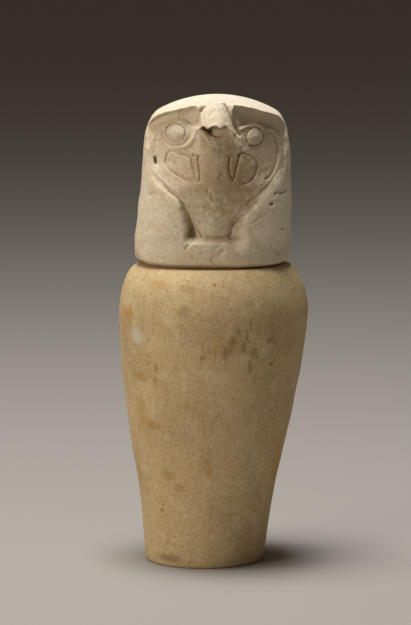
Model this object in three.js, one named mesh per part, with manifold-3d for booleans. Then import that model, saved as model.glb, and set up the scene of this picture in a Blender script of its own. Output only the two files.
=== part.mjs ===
// Carved limestone canopic jar with a falcon-head lid, in millimetres, +Z up.
// The front looks along -Y. The origin is on the ground, under the middle of the jar's shoulder.
// Two pieces of stone: a hollow jar, and a lid whose round tenon drops into the jar's mouth.

import * as THREE from "three";
import { mergeVertices } from "three/addons/utils/BufferGeometryUtils.js";
import Module from "manifold-3d";

const wasm = await Module();
wasm.setup();

// Driving dimensions of the jar
const jarHeight = 192;
const shoulderRadius = 60.8;
const shoulderHeight = 160;
const footRadius = 38.4;
const footInset = 1.6;
const footRise = 6;
const rimRadius = 46.5;
const mouthRadius = 34;
const mouthRounding = 1.5;
const mouthDepth = 14;
const wall = 15;
const floorThickness = 22;
const cavityRounding = 10;

// Driving dimensions of the lid
const lidHeight = 107.4;
const lidHalfWidth = 50.2;
const lidFrontDepth = 46;
const lidBackDepth = 47;
const lidEdgeRounding = 3.2;
const crownHalfWidth = 44.4;
const crownFrontDepth = 41;
const crownBackDepth = 44.5;
const crownRadius = 77;
const crownFrontDrop = 3.4;
const cornerStart = 36;
const cornerDrop = 6.3;
const tenonHeight = 12;
const tenonClearance = 0.8;
const tenonChamfer = 1.5;
const seatGap = 0.3;

// The whole jar leans: how far the axis stands to the side, from the foot up to the crown
const footLean = -5.9;
const crownLean = 2;

// Fineness of the facets
const jarSides = 40;
const frontColumns = 46;
const backColumns = 14;

const seat = jarHeight + seatGap;
const tenonRadius = mouthRadius - tenonClearance;

const limestone = { jar: 0xb99d72, lid: 0xd2bf9f };

const mix = THREE.MathUtils.lerp;
const clamp = THREE.MathUtils.clamp;
const ease = (t) => THREE.MathUtils.smoothstep(t, 0, 1);
const arc = (t) => Math.sqrt(Math.max(0, 1 - t * t));
const bell = (t) => Math.exp(-t * t);

// A smooth curve through knots [place, value], level beyond both ends
function track(knots) {
  const last = knots.length - 1;
  const slope = knots.map((knot, i) => {
    const a = knots[Math.max(0, i - 1)];
    const b = knots[Math.min(last, i + 1)];
    return (b[1] - a[1]) / (b[0] - a[0]);
  });
  return (place) => {
    const p = clamp(place, knots[0][0], knots[last][0]);
    let i = 0;
    while (i < last - 1 && p > knots[i + 1][0]) i += 1;
    const span = knots[i + 1][0] - knots[i][0];
    const t = (p - knots[i][0]) / span;
    const a = knots[i][1] * (1 + 2 * t) * (1 - t) ** 2 + knots[i + 1][1] * (3 - 2 * t) * t ** 2;
    return a + span * (slope[i] * t * (1 - t) ** 2 - slope[i + 1] * (1 - t) * t ** 2);
  };
}

// Side shift of the axis at a height above the ground
const axis = track([
  [0, footLean],
  [shoulderHeight / 2, 0.56 * footLean],
  [shoulderHeight, 0],
  [seat, -0.2 * crownLean],
  [seat + 0.21 * lidHeight, 0],
  [seat + 0.49 * lidHeight, 0.85 * crownLean],
  [seat + lidHeight, crownLean],
]);

function lean(geometry) {
  const place = geometry.attributes.position;
  for (let i = 0; i < place.count; i += 1) {
    place.setX(i, place.getX(i) + axis(place.getZ(i)));
  }
  return geometry;
}

function closedBody(geometry) {
  geometry.deleteAttribute("normal");
  geometry.deleteAttribute("uv");
  return mergeVertices(geometry, 1e-4);
}

function toSolid(geometry) {
  const merged = closedBody(geometry);
  const vertProperties = new Float32Array(merged.attributes.position.array);
  const triVerts = new Uint32Array(merged.index.array);
  return new wasm.Manifold(new wasm.Mesh({ numProp: 3, vertProperties, triVerts }));
}

function toGeometry(solid) {
  const mesh = solid.getMesh();
  const geometry = new THREE.BufferGeometry();
  geometry.setAttribute("position", new THREE.BufferAttribute(new Float32Array(mesh.vertProperties), 3));
  geometry.setIndex(new THREE.BufferAttribute(new Uint32Array(mesh.triVerts), 1));
  geometry.computeVertexNormals();
  return geometry;
}

function stone(name, geometry, color) {
  const material = new THREE.MeshStandardMaterial({ color, roughness: 0.9, metalness: 0 });
  const mesh = new THREE.Mesh(geometry, material);
  mesh.name = name;
  return mesh;
}

// The jar

// How far the wall has swelled from foot to shoulder, by share of the height between them
const swelling = track([
  [0, 0], [0.13, 0.085], [0.31, 0.258], [0.5, 0.53], [0.68, 0.748], [0.86, 0.92], [1, 1],
]);
const shoulderFullness = 1.95;

function bodyRadius(z) {
  if (z <= shoulderHeight) {
    const foot = footInset * (1 - arc(clamp(1 - z / footRise, 0, 1)));
    return mix(footRadius, shoulderRadius, swelling(z / shoulderHeight)) - foot;
  }
  const t = ((z - shoulderHeight) / (jarHeight - shoulderHeight)) ** shoulderFullness;
  return rimRadius + (shoulderRadius - rimRadius) * (1 - t) ** (1 / shoulderFullness);
}

function steps(count, from, to) {
  return Array.from({ length: count }, (_, i) => mix(from, to, i / (count - 1)));
}

function jarProfile() {
  const points = [[0, 0]];
  const foot = [0, 0.15, 0.5, 1].map((t) => t * footRise);
  for (const z of [...foot, ...steps(10, footRise, shoulderHeight).slice(1)]) {
    points.push([bodyRadius(z), z]);
  }
  for (const turn of steps(8, 0, Math.PI / 2).slice(1)) {
    const z = mix(shoulderHeight, jarHeight, Math.sin(turn) ** (2 / shoulderFullness));
    points.push([bodyRadius(z), z]);
  }
  for (const turn of steps(3, 0, Math.PI / 2)) {
    const out = mouthRounding * (1 - Math.sin(turn));
    const down = mouthRounding * (1 - Math.cos(turn));
    points.push([mouthRadius + out, jarHeight - down]);
  }
  const neckFoot = jarHeight - mouthDepth;
  const cavityTop = neckFoot - (shoulderRadius - wall - mouthRadius);
  const cavityRadius = (z) => bodyRadius(z) - wall;
  for (const turn of steps(5, 0, Math.PI / 2)) {
    const out = mix(mouthRadius, cavityRadius(cavityTop), Math.sin(turn));
    points.push([out, mix(cavityTop, neckFoot, Math.cos(turn))]);
  }
  const cavityFoot = floorThickness + cavityRounding;
  for (const z of steps(5, cavityTop, cavityFoot).slice(1)) {
    points.push([cavityRadius(z), z]);
  }
  for (const turn of steps(4, 0, Math.PI / 2).slice(1)) {
    const inner = cavityRadius(cavityFoot) - cavityRounding * (1 - Math.cos(turn));
    points.push([inner, cavityFoot - cavityRounding * Math.sin(turn)]);
  }
  points.push([0, floorThickness]);
  return points.map(([r, z]) => new THREE.Vector2(r, z));
}

function buildJar() {
  const turned = new THREE.LatheGeometry(jarProfile(), jarSides);
  turned.rotateX(Math.PI / 2);
  return stone("jar", toGeometry(toSolid(lean(turned))), limestone.jar);
}

// The lid. Its carving is set out in shares: up of the lid's height, across of its half width,
// and deep of its front depth, as seen square from the front.

const up = (share) => share * lidHeight;
const across = (share) => share * lidHalfWidth;
const deep = (share) => share * lidFrontDepth;
const planFullness = 2.3;

// The wig's block below the crown: half width, and depth to the front and to the back
const wigWidth = track([
  [0, 1], [0.15, 1], [0.25, 0.982], [0.36, 0.978], [0.44, 0.961], [0.6, 0.945], [0.68, 0.935], [0.74, 0.918],
]);
const wigFront = track([[0, 0.975], [0.1, 1], [0.4, 1], [0.58, 0.985], [0.74, 0.955]]);
const wigBack = track([[0, 0.95], [0.2, 0.99], [0.45, 1.02], [0.62, 1.01], [0.74, 0.985]]);
const crownStart = up(0.74);

// The crown is a vault with dropped corners from front to back, and falls away as a dome behind
function vault(out) {
  const corner = Math.max(0, (out - cornerStart) / (crownHalfWidth - cornerStart));
  const bow = Math.sqrt(Math.max(0, crownRadius ** 2 - out ** 2));
  return lidHeight - crownRadius + bow - cornerDrop * corner ** 3;
}

function crown(x, y) {
  if (y > 0) {
    const ring = (Math.abs(x) / crownHalfWidth) ** planFullness + (y / crownBackDepth) ** planFullness;
    return vault(crownHalfWidth * ring ** (1 / planFullness));
  }
  return vault(Math.abs(x)) - crownFrontDrop * (y / crownFrontDepth) ** 2;
}

// Height of the brim above a place across the front
function brimHeight(x) {
  const s = clamp(Math.abs(x) / crownHalfWidth, 0, 1);
  return crown(s * crownHalfWidth, -crownFrontDepth * (1 - s ** planFullness) ** (1 / planFullness));
}

// A form that differs a little from left to right, as hand work does
const sides = (left, right) => (side, height) => (side < 0 ? left(height) : right(height));

// Face: its edge against the wig, the arris inside that edge, and the valley cut along the edge
const ledgeFront = 0.15;
const ledgeBack = 0.197;
const faceEdge = sides(
  track([
    [0.197, 0.3], [0.23, 0.285], [0.3, 0.31], [0.367, 0.365], [0.42, 0.465], [0.477, 0.62],
    [0.53, 0.755], [0.59, 0.83], [0.66, 0.85], [0.77, 0.825], [0.84, 0.79],
  ]),
  track([
    [0.197, 0.3], [0.23, 0.235], [0.3, 0.262], [0.36, 0.35], [0.42, 0.49], [0.477, 0.625],
    [0.53, 0.74], [0.58, 0.8], [0.66, 0.83], [0.77, 0.81], [0.84, 0.79],
  ]),
);
const faceArris = sides(
  track([
    [0.19, 0.125], [0.215, 0.143], [0.29, 0.227], [0.38, 0.333], [0.42, 0.43], [0.5, 0.665], [0.6, 0.8],
    [0.84, 0.76],
  ]),
  track([
    [0.19, 0.17], [0.25, 0.185], [0.3, 0.225], [0.36, 0.31], [0.42, 0.44], [0.5, 0.65], [0.6, 0.77],
    [0.84, 0.76],
  ]),
);
const faceFlank = sides(
  track([[0.19, 0.15], [0.28, 0.155], [0.36, 0.085], [0.42, 0.055], [0.55, 0.05]]),
  track([[0.19, 0.05], [0.3, 0.045], [0.36, 0.04]]),
);
const faceValley = sides(
  track([
    [0.19, 0.2], [0.24, 0.23], [0.3, 0.22], [0.367, 0.14], [0.42, 0.08], [0.5, 0.06], [0.66, 0.06],
    [0.84, 0.09],
  ]),
  track([
    [0.19, 0.17], [0.24, 0.16], [0.3, 0.12], [0.36, 0.07], [0.42, 0.05], [0.5, 0.05], [0.66, 0.07],
    [0.84, 0.09],
  ]),
);
const valleySpread = sides(
  track([[0.19, 0.055], [0.3, 0.055], [0.4, 0.07], [0.5, 0.09], [0.6, 0.06]]),
  track([[0.19, 0.07], [0.3, 0.08], [0.4, 0.11], [0.5, 0.1], [0.6, 0.06]]),
);
const faceMiddle = track([
  [0.19, 0.85], [0.24, 0.88], [0.3, 0.92], [0.37, 0.97], [0.46, 1.05], [0.56, 1.1], [0.65, 1.11],
  [0.74, 1.07], [0.8, 1.02], [0.86, 0.95], [0.97, 0.82],
]);
const faceRoundness = sides(
  track([[0.19, 2.4], [0.3, 2], [0.42, 1.6], [0.55, 1.55], [0.8, 1.6], [0.97, 1.7]]),
  track([[0.19, 1.5], [0.3, 1.35], [0.42, 1.35], [0.55, 1.45], [0.8, 1.6], [0.97, 1.7]]),
);

// Recess under the overhanging brim: its lower line over the eye, its inner line beside the beak
const browLine = sides(
  track([
    [0.3, 0.82], [0.38, 0.842], [0.5, 0.852], [0.65, 0.832], [0.74, 0.815], [0.81, 0.75], [0.85, 0.68],
  ]),
  track([
    [0.28, 0.81], [0.36, 0.83], [0.49, 0.84], [0.63, 0.815], [0.73, 0.79], [0.8, 0.73], [0.85, 0.65],
  ]),
);
const browInner = sides(
  track([[0.7, 0.36], [0.74, 0.33], [0.8, 0.275], [0.85, 0.235], [0.9, 0.262], [0.96, 0.303]]),
  track([[0.7, 0.32], [0.745, 0.28], [0.81, 0.23], [0.86, 0.225], [0.94, 0.23], [0.96, 0.25]]),
);
const recessDepth = 0.13;
const recessStep = 0.035;
const brimLip = up(0.012);

// Beak: the forehead beside it, its crest, its half width, and the broken tip with the hole under it
const forehead = track([
  [0.74, 1], [0.81, 0.99], [0.85, 0.975], [0.9, 0.945], [0.95, 0.89], [0.98, 0.86],
]);
const beakCrest = track([
  [0.78, 1.17], [0.815, 1.18], [0.835, 1.165], [0.87, 1.1], [0.91, 1.01], [0.945, 0.93], [0.97, 0.875],
]);
const beakWidth = sides(
  track([[0.77, 0.3], [0.804, 0.268], [0.86, 0.23], [0.928, 0.184], [0.948, 0.135], [0.962, 0.05]]),
  track([[0.77, 0.25], [0.813, 0.215], [0.86, 0.18], [0.928, 0.131], [0.948, 0.11], [0.962, 0.05]]),
);
const tipLine = track([
  [-0.26, 0.806], [-0.228, 0.82], [-0.11, 0.832], [-0.02, 0.816], [0.12, 0.832], [0.23, 0.785],
]);
const lipLine = track([
  [-0.26, 0.84], [-0.228, 0.82], [-0.16, 0.79], [-0.1, 0.769], [0, 0.764], [0.1, 0.77], [0.19, 0.79],
]);
const breakDepth = track([
  [-0.24, 0], [-0.17, 0.09], [-0.11, 0.12], [-0.05, 0.075], [0.06, 0.055], [0.15, 0.05], [0.2, 0],
]);

// Eyes: middle of each boss and its size
const eyes = [{ x: across(-0.515), z: up(0.79) }, { x: across(0.487), z: up(0.772) }];
const eyeHalfWidth = across(0.118);
const eyeHalfHeight = up(0.05);
const eyeSwell = deep(0.05);
const eyelidHalfWidth = 0.8;
const lappetSwell = { across: 0.6, up: 0.3, wide: 0.25, high: 0.2, out: 0.025 };

// Depth of the carved front at a place on it, from the depth of the uncarved block there
function carvedDepth(x, z, block, blockAt) {
  const high = z / lidHeight;
  if (high <= ledgeFront) return block;
  const height = Math.max(high, ledgeBack);
  const side = x / lidHalfWidth;
  const out = Math.abs(side);
  const edge = faceEdge(side, height);
  const arris = faceArris(side, height);
  const valley = deep(faceValley(side, height));
  const flank = deep(faceFlank(side, height));
  const low = blockAt(across(edge)) - valley;
  const middle = deep(faceMiddle(height));
  let depth;
  if (out < arris) {
    depth = middle - (middle - low - flank) * (out / arris) ** faceRoundness(side, height);
  } else if (out < edge) {
    depth = low + flank * (1 - ((out - arris) / (edge - arris)) ** 0.9);
  } else {
    const { across: middleAcross, up: middleUp, wide, high: tall, out: swelled } = lappetSwell;
    const swell = bell((out - middleAcross) / wide) * bell((high - middleUp) / tall);
    const furrow = valley * bell((out - edge) / valleySpread(side, height));
    depth = block - furrow + deep(swelled) * swell;
  }

  const inner = browInner(side, height);
  const within = ease((out - inner) / 0.05) * ease((0.9 - out) / 0.06);
  const under = ease((high - browLine(side, out)) / 0.03) * within;
  const below = (brimHeight(x) - z) / lidHeight;
  depth -= deep(recessDepth * ease(1.3 - below / 0.14) + recessStep) * under;

  const root = forehead(height);
  const beak = Math.min(1, out / beakWidth(side, height));
  const nose = deep(root + (beakCrest(height) - root) * (1 - beak ** 2.4));
  const pastTip = ease((high - tipLine(side)) / 0.01);
  depth -= deep(breakDepth(side)) * ease((high - lipLine(side)) / 0.012) * (1 - pastTip);
  depth = mix(depth, nose, pastTip * (1 - ease((out - inner + 0.01) / 0.04)));
  return mix(block, depth, clamp((high - ledgeFront) / (ledgeBack - ledgeFront), 0, 1));
}

// Columns [s, c] run round the lid on a unit plan: the front ones closer together in the middle, the
// back ones evenly turned. A front column also has its reach, half of the gap to the next one.
function lidColumns() {
  const flank = 0.93;
  const front = steps(frontColumns - 3, -1, 1).map((t) => flank * (0.75 * t + 0.25 * t ** 3));
  const columns = [-1, -0.975, ...front, 0.975].map((s) => {
    const reach = (flank * (0.75 + 0.75 * s * s)) / (frontColumns - 4);
    return [s, -((1 - Math.abs(s) ** planFullness) ** (1 / planFullness)), reach];
  });
  for (const turn of steps(backColumns + 1, 0, Math.PI).slice(0, -1)) {
    const c = Math.cos(turn);
    const s = Math.sin(turn);
    columns.push([Math.sign(c) * Math.abs(c) ** (2 / planFullness), s ** (2 / planFullness)]);
  }
  return columns;
}

// Rows run up the lid. Each one is a function of the column's place on a unit plan
function roundRow(radius, z) {
  return ([s, c]) => {
    const length = Math.hypot(s, c);
    return [(radius * s) / length, (radius * c) / length, z];
  };
}

// Size of the plan on the wall, and from the level of the eyes to the brim by share of the way up
function wallPlan(z) {
  const height = z / lidHeight;
  const round = lidEdgeRounding * (1 - arc(clamp(1 - z / (1.4 * lidEdgeRounding), 0, 1)));
  return {
    halfWidth: across(wigWidth(height)) - round,
    front: deep(wigFront(height)) - round,
    back: lidBackDepth * wigBack(height) - round,
  };
}

function browPlan(share) {
  const start = wallPlan(crownStart);
  const round = share ** 1.3;
  return {
    halfWidth: mix(start.halfWidth, crownHalfWidth, round),
    front: mix(start.front, crownFrontDepth, share),
    back: mix(start.back, crownBackDepth, round),
  };
}

function frontDepth(x, z, plan) {
  const blockAt = (place) => {
    return plan.front * (1 - clamp(place / plan.halfWidth, 0, 1) ** planFullness) ** (1 / planFullness);
  };
  return carvedDepth(x, z, blockAt(Math.abs(x)), blockAt);
}

// Moves a column onto the face's edge or arris where one of these passes nearest to it
function onCrease(s, reach, z, plan) {
  if (z <= up(ledgeFront)) return s;
  for (const crease of [faceEdge, faceArris]) {
    const place = across(crease(s, Math.max(z / lidHeight, ledgeBack))) / plan.halfWidth;
    if (Math.abs(Math.abs(s) - place) < reach) return Math.sign(s) * place;
  }
  return s;
}

function wallPoint([s, c, reach], z, plan, carved) {
  if (c >= 0) return [plan.halfWidth * s, plan.back * c, z];
  if (!carved) return [plan.halfWidth * s, plan.front * c, z];
  const x = plan.halfWidth * onCrease(s, reach, z, plan);
  return [x, -frontDepth(x, z, plan), z];
}

function wallRow(z) {
  return (column) => wallPoint(column, z, wallPlan(z), true);
}

function browRow(share, carved) {
  return (column) => {
    const [s, c] = column;
    const top = crown(crownHalfWidth * s, (c < 0 ? crownFrontDepth : crownBackDepth) * c);
    const lip = carved && share === 1 && c < 0 ? brimLip : 0;
    const z = mix(crownStart, top - lip, share);
    return wallPoint(column, z, browPlan(share), carved);
  };
}

function crownRow(share) {
  return ([s, c]) => {
    const x = crownHalfWidth * s * share;
    const y = (c < 0 ? crownFrontDepth : crownBackDepth) * c * share;
    return [x, y, crown(x, y)];
  };
}

function lidRows() {
  const underTenon = -tenonHeight;
  const rows = [
    roundRow(0, underTenon),
    roundRow(tenonRadius - tenonChamfer, underTenon),
    roundRow(tenonRadius, underTenon + tenonChamfer),
    roundRow(tenonRadius, 0),
  ];
  const levels = [
    0, 0.007, 0.024, 0.08, 0.15, 0.197, 0.23, 0.265, 0.3, 0.335, 0.37, 0.41, 0.45, 0.49, 0.53, 0.58, 0.63, 0.68,
  ];
  for (const level of levels) rows.push(wallRow(up(level)));
  const shares = [0, 0.09, 0.17, 0.25, 0.33, 0.4, 0.45, 0.51, 0.6, 0.7, 0.8, 0.9, 1];
  for (const share of shares) rows.push(browRow(share, true));
  rows.push(browRow(1, false));
  for (const share of [0.93, 0.78, 0.55, 0.3, 0]) rows.push(crownRow(share));
  return rows;
}

// The rows' facets, each square split the way the face's edges run on its side
function lidBlock() {
  const rows = lidRows();
  const columns = lidColumns();
  const count = columns.length;
  const places = [];
  const corners = [];
  rows.forEach((row, level) => {
    columns.forEach((column, turn) => {
      const [x, y, z] = row(column);
      places.push(x, y, z + seat);
      if (level === 0) return;
      const a = (level - 1) * count + turn;
      const b = (level - 1) * count + ((turn + 1) % count);
      const c = b + count;
      const d = a + count;
      const falling = column[0] < 0 || z > crownStart;
      corners.push(...(falling ? [a, b, d, b, c, d] : [a, b, c, a, c, d]));
    });
  });
  const geometry = new THREE.BufferGeometry();
  geometry.setAttribute("position", new THREE.Float32BufferAttribute(places, 3));
  geometry.setIndex(corners);
  return lean(geometry);
}

// Places on the carved front, for the incised lines
function frontPoint(x, z) {
  const share = (z - crownStart) / (brimHeight(x) - crownStart);
  const plan = share > 0 ? browPlan(share) : wallPlan(z);
  return new THREE.Vector3(x + axis(seat + z), -frontDepth(x, z, plan), z + seat);
}

const incisionDepth = 0.55;
const incisionHalfWidth = 0.6;

function incision(places) {
  const points = places.map(([x, z]) => frontPoint(across(x), up(z)));
  const path = new THREE.CatmullRomCurve3(points);
  const section = new THREE.Shape();
  section.moveTo(incisionDepth, 0);
  section.lineTo(0, incisionHalfWidth);
  section.lineTo(-incisionDepth, 0);
  section.lineTo(0, -incisionHalfWidth);
  section.closePath();
  const turns = 2 * places.length;
  return toSolid(new THREE.ExtrudeGeometry(section, { steps: turns, extrudePath: path, bevelEnabled: false }));
}

// Incised lines as places [across, up]: the marked cheeks, the drops beside the beak, the eyes' rings
const cheekLeft = [[-0.37, 0.66], [-0.5, 0.685], [-0.6, 0.68], [-0.64, 0.625], [-0.56, 0.565], [-0.4, 0.53]];
const cheekRight = [[0.28, 0.672], [0.35, 0.685], [0.46, 0.655], [0.503, 0.595], [0.43, 0.528], [0.335, 0.508]];
const dropLeft = [[-0.325, 0.65], [-0.285, 0.58], [-0.225, 0.522], [-0.213, 0.58], [-0.235, 0.655]];
const dropRight = [[0.165, 0.66], [0.148, 0.6], [0.212, 0.537], [0.245, 0.6], [0.277, 0.668]];
const jawRight = [[0.72, 0.78], [0.775, 0.72], [0.765, 0.64], [0.7, 0.565], [0.61, 0.525]];

// Raised eyelid all round an eye, drawn out a little towards the beak
function eyelid(eye) {
  const places = steps(13, 0, 2 * Math.PI).slice(1).map((turn) => {
    const inward = Math.cos(turn) * (Math.cos(turn) > 0 ? 1.25 : 1);
    const x = eye.x - Math.sign(eye.x) * 1.34 * eyeHalfWidth * inward;
    return frontPoint(x, eye.z + 1.34 * eyeHalfHeight * Math.sin(turn));
  });
  const path = new THREE.CatmullRomCurve3(places, true);
  return toSolid(new THREE.TubeGeometry(path, 18, eyelidHalfWidth, 5, true));
}

function eyeBoss(eye) {
  const middle = frontPoint(eye.x, eye.z);
  const boss = new THREE.SphereGeometry(1, 14, 8);
  boss.scale(eyeHalfWidth, eyeSwell, eyeHalfHeight);
  return toSolid(boss.translate(middle.x, middle.y, middle.z));
}

function buildLid() {
  let solid = toSolid(lidBlock());
  for (const eye of eyes) solid = solid.add(eyeBoss(eye)).add(eyelid(eye));
  const lines = [cheekLeft, cheekRight, dropLeft, dropRight, jawRight];
  for (const line of lines) solid = solid.subtract(incision(line));
  return stone("falcon_head_lid", toGeometry(solid), limestone.lid);
}

const canopicJar = new THREE.Group();
canopicJar.add(buildJar());
canopicJar.add(buildLid());

export default canopicJar;
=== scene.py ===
"""Limestone canopic jar with a falcon-head lid: surfaces, stone finishes, floor, light and camera.

Lengths are in metres, written as so many times MM, and the tables that hold bare millimetres say so. The
front of the jar looks along -Y and the origin is on the ground under the middle of the shoulder. Carving
on the lid is set out in shares of the lid's height, half width and front depth.
"""
import math

import bpy
import numpy as np
from bpy.props import FloatProperty, FloatVectorProperty, IntProperty, PointerProperty
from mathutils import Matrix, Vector, noise


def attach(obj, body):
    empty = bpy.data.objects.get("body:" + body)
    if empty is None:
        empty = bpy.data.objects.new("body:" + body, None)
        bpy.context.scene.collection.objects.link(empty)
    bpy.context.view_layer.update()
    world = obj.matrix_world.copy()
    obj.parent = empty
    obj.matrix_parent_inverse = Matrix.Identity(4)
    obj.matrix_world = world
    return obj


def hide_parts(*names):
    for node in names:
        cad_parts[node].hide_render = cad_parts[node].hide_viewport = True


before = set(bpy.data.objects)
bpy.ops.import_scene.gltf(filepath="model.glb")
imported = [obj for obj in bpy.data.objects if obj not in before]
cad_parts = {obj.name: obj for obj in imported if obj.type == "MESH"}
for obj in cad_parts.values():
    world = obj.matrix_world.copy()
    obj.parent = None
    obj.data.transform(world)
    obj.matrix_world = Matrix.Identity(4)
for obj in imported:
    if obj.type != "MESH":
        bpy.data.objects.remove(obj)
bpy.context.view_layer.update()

bl_info = {
    "name": "Canopic jar",
    "version": (1, 0, 0),
    "blender": (4, 5, 0),
    "location": "View3D > Sidebar > Canopic jar",
    "description": "Models a carved limestone canopic jar and its falcon-head lid",
    "category": "Object",
}

MM = 0.001


# Small functions of form and colour

def mix(a, b, t):
    """From a to b by the share t."""
    return a + (b - a) * t


def ease(t):
    """A soft step: 0 up to t = 0, 1 from t = 1 on."""
    t = np.clip(t, 0.0, 1.0)
    return t * t * (3.0 - 2.0 * t)


def arc(t):
    """A quarter circle, from 1 at t = 0 to 0 at t = 1."""
    return np.sqrt(np.maximum(0.0, 1.0 - t * t))


def bell(t):
    """A soft hump of height 1 about t = 0."""
    return np.exp(-t * t)


def track(*knots):
    """A smooth curve through knots (place, value), level beyond both ends."""
    at, value = np.array(knots, dtype=float).T
    low = np.maximum(np.arange(len(at)) - 1, 0)
    high = np.minimum(np.arange(len(at)) + 1, len(at) - 1)
    slope = (value[high] - value[low]) / (at[high] - at[low])

    def read(place):
        p = np.clip(place, at[0], at[-1])
        i = np.clip(np.searchsorted(at, p, side="right") - 1, 0, len(at) - 2)
        span = at[i + 1] - at[i]
        t = (p - at[i]) / span
        rise = value[i] * (1 + 2 * t) * (1 - t) ** 2 + value[i + 1] * (3 - 2 * t) * t ** 2
        return rise + span * (slope[i] * t * (1 - t) ** 2 - slope[i + 1] * (1 - t) * t ** 2)

    return read


def lumps(points, grain, octaves=3, seed=0.0):
    """Cloudy noise at each point, about -1 to 1, with lumps as wide as grain."""
    shift = Vector((seed, 2.3 * seed, 5.1 * seed))
    scale = 1.0 / grain
    values = [noise.fractal(Vector(p) * scale + shift, 1.0, 2.0, octaves) for p in points]
    return np.array(values)


def unevenness(points, waves):
    """Sum of the waves at each point; a wave is its height and grain in mm, its octaves and its seed."""
    return sum(height * MM * lumps(points, grain * MM, *kind) for height, grain, *kind in waves)


def linear(hex_colour):
    """An sRGB hex colour as linear red, green, blue and alpha."""
    channels = [int(hex_colour[i:i + 2], 16) / 255 for i in (1, 3, 5)]
    return [c / 12.92 if c <= 0.04045 else ((c + 0.055) / 1.055) ** 2.4 for c in channels] + [1.0]


# Sizes and colours that a user would change

class JarSizes(bpy.types.PropertyGroup):
    height: FloatProperty(
        name="Height", description="From the foot to the rim", default=192 * MM, unit="LENGTH")
    shoulder_radius: FloatProperty(
        name="Shoulder radius", description="Widest radius", default=60.8 * MM, unit="LENGTH")
    shoulder_height: FloatProperty(
        name="Shoulder height", description="Height of the widest part", default=160 * MM, unit="LENGTH")
    foot_radius: FloatProperty(
        name="Foot radius", description="Radius just above the foot", default=38.4 * MM, unit="LENGTH")
    rim_radius: FloatProperty(
        name="Rim radius", description="Outer radius of the flat rim", default=46.5 * MM, unit="LENGTH")
    mouth_radius: FloatProperty(
        name="Mouth radius", description="Radius of the mouth", default=34 * MM, unit="LENGTH")
    wall: FloatProperty(
        name="Wall", description="Thickness of the wall", default=15 * MM, unit="LENGTH")
    floor: FloatProperty(
        name="Floor", description="Thickness of the floor inside", default=22 * MM, unit="LENGTH")
    sides: IntProperty(
        name="Sides", description="Sides of the turned form before it is smoothed", default=78, min=12)
    stone: FloatVectorProperty(
        name="Stone", description="Colour of the jar's limestone", subtype="COLOR", size=3,
        default=linear("#c9b083")[:3], min=0.0, max=1.0)


class LidSizes(bpy.types.PropertyGroup):
    height: FloatProperty(
        name="Height", description="From the rim of the jar to the top",
        default=107.4 * MM, unit="LENGTH")
    half_width: FloatProperty(
        name="Half width", description="Half of the width at the foot", default=50.2 * MM, unit="LENGTH")
    front_depth: FloatProperty(
        name="Front depth", description="From the axis to the front of the band",
        default=46 * MM, unit="LENGTH")
    back_depth: FloatProperty(
        name="Back depth", description="From the axis to the back of the wig",
        default=47 * MM, unit="LENGTH")
    tenon_height: FloatProperty(
        name="Tenon height", description="Height of the tenon in the mouth",
        default=12 * MM, unit="LENGTH")
    tenon_radius: FloatProperty(
        name="Tenon radius", description="Radius of the tenon in the mouth",
        default=33.2 * MM, unit="LENGTH")
    gap: FloatProperty(
        name="Gap", description="Gap between the rim and the lid", default=0.3 * MM, unit="LENGTH")
    incision: FloatProperty(
        name="Incision", description="Depth of the incised lines", default=1.25 * MM, unit="LENGTH")
    stone: FloatVectorProperty(
        name="Stone", description="Colour of the lid's limestone", subtype="COLOR", size=3,
        default=linear("#ddcfb5")[:3], min=0.0, max=1.0)


def jar_sizes():
    """The jar's sizes as set in the scene."""
    return bpy.context.scene.canopic_jar_sizes


def lid_sizes():
    """The lid's sizes as set in the scene."""
    return bpy.context.scene.canopic_lid_sizes


# The axis leans to one side, from the foot up to the crown: height and place across, in mm

LEAN = ((0, -5.9), (80, -3.3), (160, 0.0), (192.3, -0.4), (214.9, 0.0), (244.9, 1.7), (299.7, 2.0))
axis = track(*((z * MM, x * MM) for z, x in LEAN))


# The jar's turned form

swelling = track((0, 0), (0.13, 0.085), (0.31, 0.258), (0.5, 0.53), (0.68, 0.748), (0.86, 0.92), (1, 1))
SHOULDER_FULLNESS = 1.95
FOOT_INSET = 1.6 * MM
FOOT_RISE = 6 * MM
UNDERSIDE_INSET = 3.0 * FOOT_INSET
MOUTH_ROUNDING = 1.5 * MM
MOUTH_DEPTH = 14 * MM
CAVITY_ROUNDING = 10 * MM

# Rings on the underside and the cavity's floor, as shares of the foot's and the mouth's radius
UNDERSIDE_RING = 0.4
FLOOR_RING = 0.3

# Rings up the foot's rounding as shares of its rise, and how many there are on each further stretch, to
# the shoulder, the rim, the mouth, the cavity's ceiling, its wall and its lower corner
FOOT_RINGS = (0.0, 0.12, 0.45, 1.0)
BODY_RINGS = 38
SHOULDER_RINGS = 14
MOUTH_RINGS = 3
CEILING_RINGS = 5
CAVITY_RINGS = 8
CORNER_RINGS = 4

# Unevenness of the jar and of the lid: height and grain in mm, octaves and seed of each wave
JAR_WAVES = ((0.3, 18, 3, 5.0), (0.05, 2.4, 2, 11.0))
LID_WAVES = ((0.35, 16, 3, 3.0), (0.07, 2.2, 2, 9.0))

# How far the surfaces are set back, so that the unevenness stays inside the solids
JAR_SETBACK = 0.25 * MM
LID_SETBACK = 0.2 * MM


def body_radius(z):
    """Outer radius of the jar at a height above the ground."""
    size = jar_sizes()
    if z <= size.shoulder_height:
        foot = FOOT_INSET * (1 - arc(np.clip(1 - z / FOOT_RISE, 0, 1)))
        return mix(size.foot_radius, size.shoulder_radius, swelling(z / size.shoulder_height)) - foot
    t = ((z - size.shoulder_height) / (size.height - size.shoulder_height)) ** SHOULDER_FULLNESS
    return size.rim_radius + (size.shoulder_radius - size.rim_radius) * (1 - t) ** (1 / SHOULDER_FULLNESS)


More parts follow.
